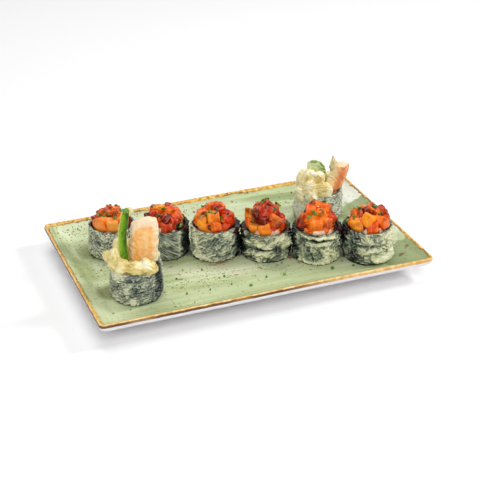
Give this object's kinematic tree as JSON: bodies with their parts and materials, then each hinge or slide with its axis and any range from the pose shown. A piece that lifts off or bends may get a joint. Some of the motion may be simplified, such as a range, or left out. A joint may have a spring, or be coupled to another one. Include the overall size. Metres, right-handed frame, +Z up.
{
  "type": "salmon tartare roll platter",
  "caption": "Rectangular plate of battered seaweed rolls heaped with diced salmon, with two tall end pieces of salmon and avocado.",
  "frame": {"origin": "middle of the plate's foot, on the surface that the plate stands on", "axes": "+X along the plate's long side, -Y towards the side seen in front, +Z up"},
  "size_m": [0.27, 0.168, 0.0831],
  "materials": {
    "plate": "brushed sage green glaze with olive patches, brown speckles and a honey-brown rim",
    "wrap": "dark seaweed under thin, wrinkled, pale batter",
    "filling": "moist pinkish rice and fish",
    "tartare": "wet diced salmon under dark red glaze, with chopped chives",
    "batter": "pale cream fried batter, lumpy, with a soft sheen of oil",
    "salmon_strip": "peach-orange cooked salmon with a pale fried edge",
    "avocado": "bright green skin side with darker patches and a cream edge"
  },
  "bodies": {
    "root": {"plate": "plate", "roll_1_wrap": "wrap", "roll_1_filling": "filling", "roll_1_tartare": "tartare", "roll_2_wrap": "wrap", "roll_2_filling": "filling", "roll_2_tartare": "tartare", "roll_3_wrap": "wrap", "roll_3_filling": "filling", "roll_3_tartare": "tartare", "roll_4_wrap": "wrap", "roll_4_filling": "filling", "roll_4_tartare": "tartare", "roll_5_wrap": "wrap", "roll_5_filling": "filling", "roll_5_tartare": "tartare", "roll_6_wrap": "wrap", "roll_6_filling": "filling", "roll_6_tartare": "tartare", "end_1_wrap": "wrap", "end_1_batter": "batter", "end_1_salmon": "salmon_strip", "end_1_avocado": "avocado", "end_2_wrap": "wrap", "end_2_batter": "batter", "end_2_salmon": "salmon_strip", "end_2_avocado": "avocado"}
  },
  "joints": []
}
